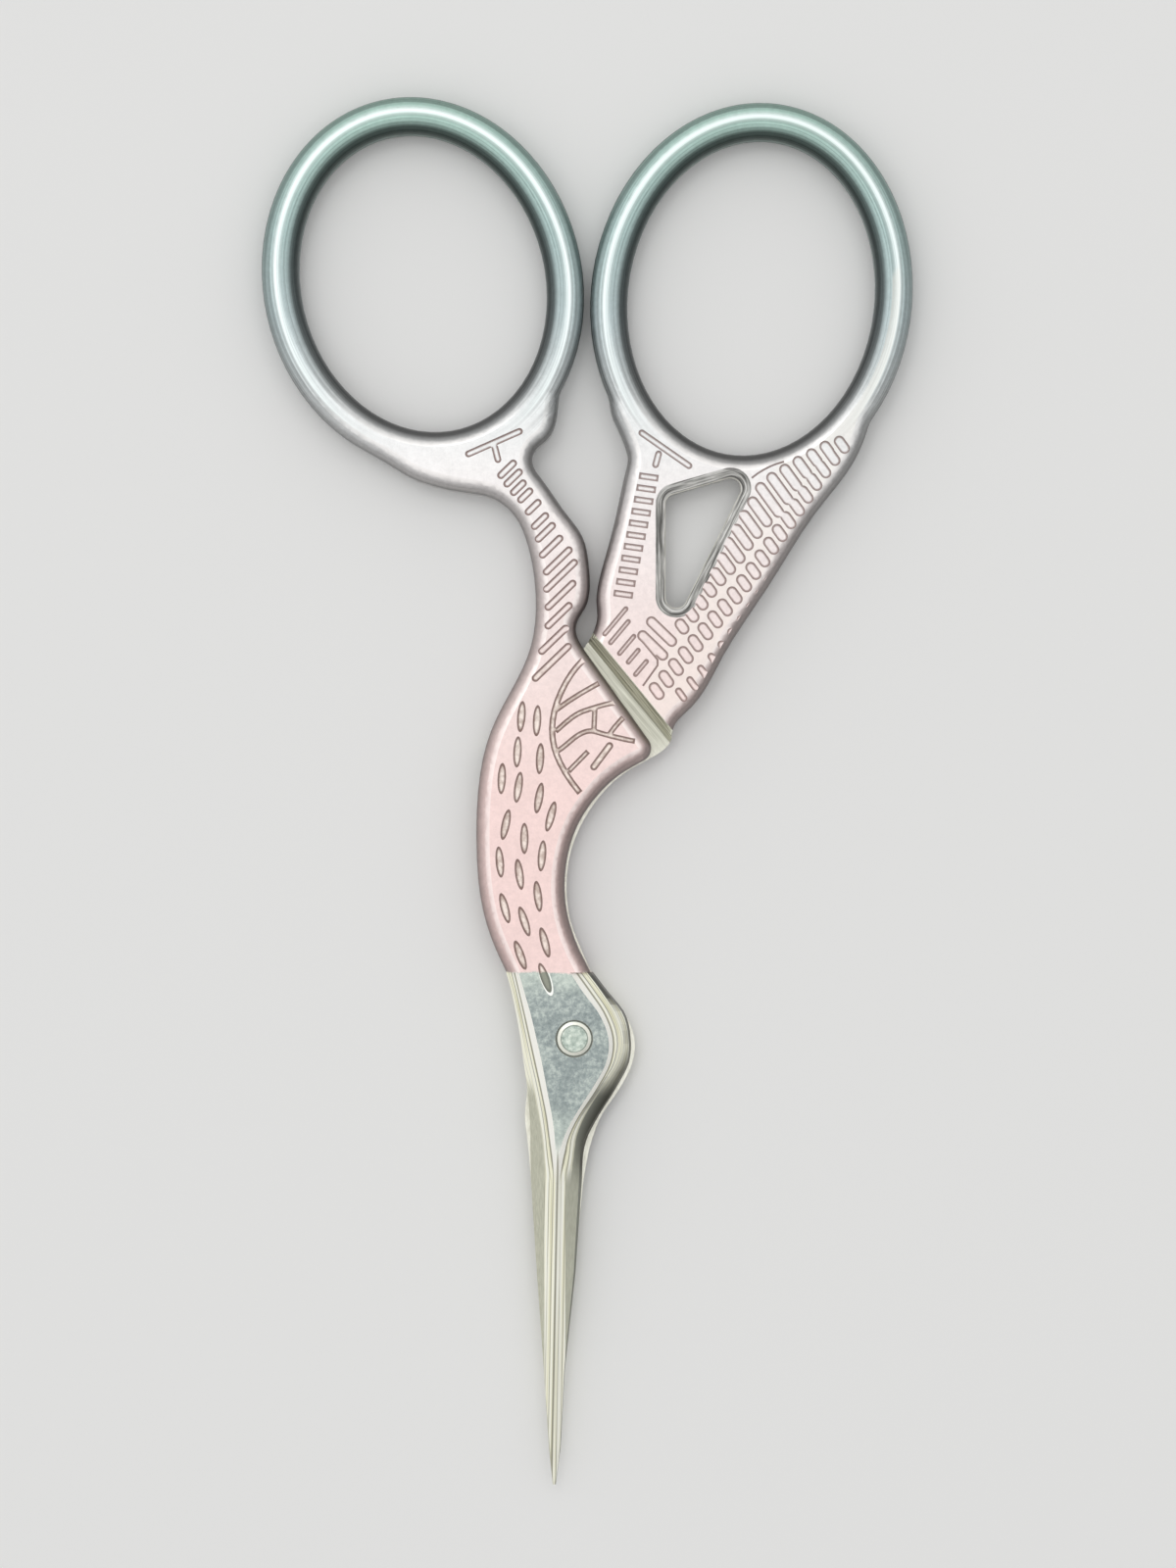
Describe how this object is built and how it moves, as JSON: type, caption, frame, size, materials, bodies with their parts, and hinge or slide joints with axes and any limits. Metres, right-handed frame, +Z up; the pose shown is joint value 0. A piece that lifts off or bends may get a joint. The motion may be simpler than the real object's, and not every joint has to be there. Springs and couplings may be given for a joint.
{
  "type": "stork embroidery scissors",
  "caption": "Small sewing scissors shaped like a wading bird: finger rings, engraved body, long beak blades turning on one flush pivot screw.",
  "frame": {"origin": "where the pivot axis meets the flat underside that the closed scissors lie on", "axes": "+Y from the pivot towards the finger rings, +X towards the tail and the right ring, +Z up through the thickness towards the front face"},
  "size_m": [0.0533, 0.1136, 0.0036],
  "materials": {
    "front_half": "pink, silver and teal enamel over engraved steel, bare ground steel at the head and blade",
    "back_half": "pink, silver and teal enamel over engraved steel, bare ground steel at the head and blade",
    "pivot_screw": "turned and polished steel"
  },
  "bodies": {
    "front_half": {"front_half": "front_half", "pivot_screw": "pivot_screw"},
    "back_half": {"back_half": "back_half"}
  },
  "joints": [
    {"name": "pivot", "type": "hinge", "parent": "front_half", "child": "back_half", "pos_m": [0, 0, 0], "axis": [0, 0, -1], "range_deg": [0, 90]}
  ]
}
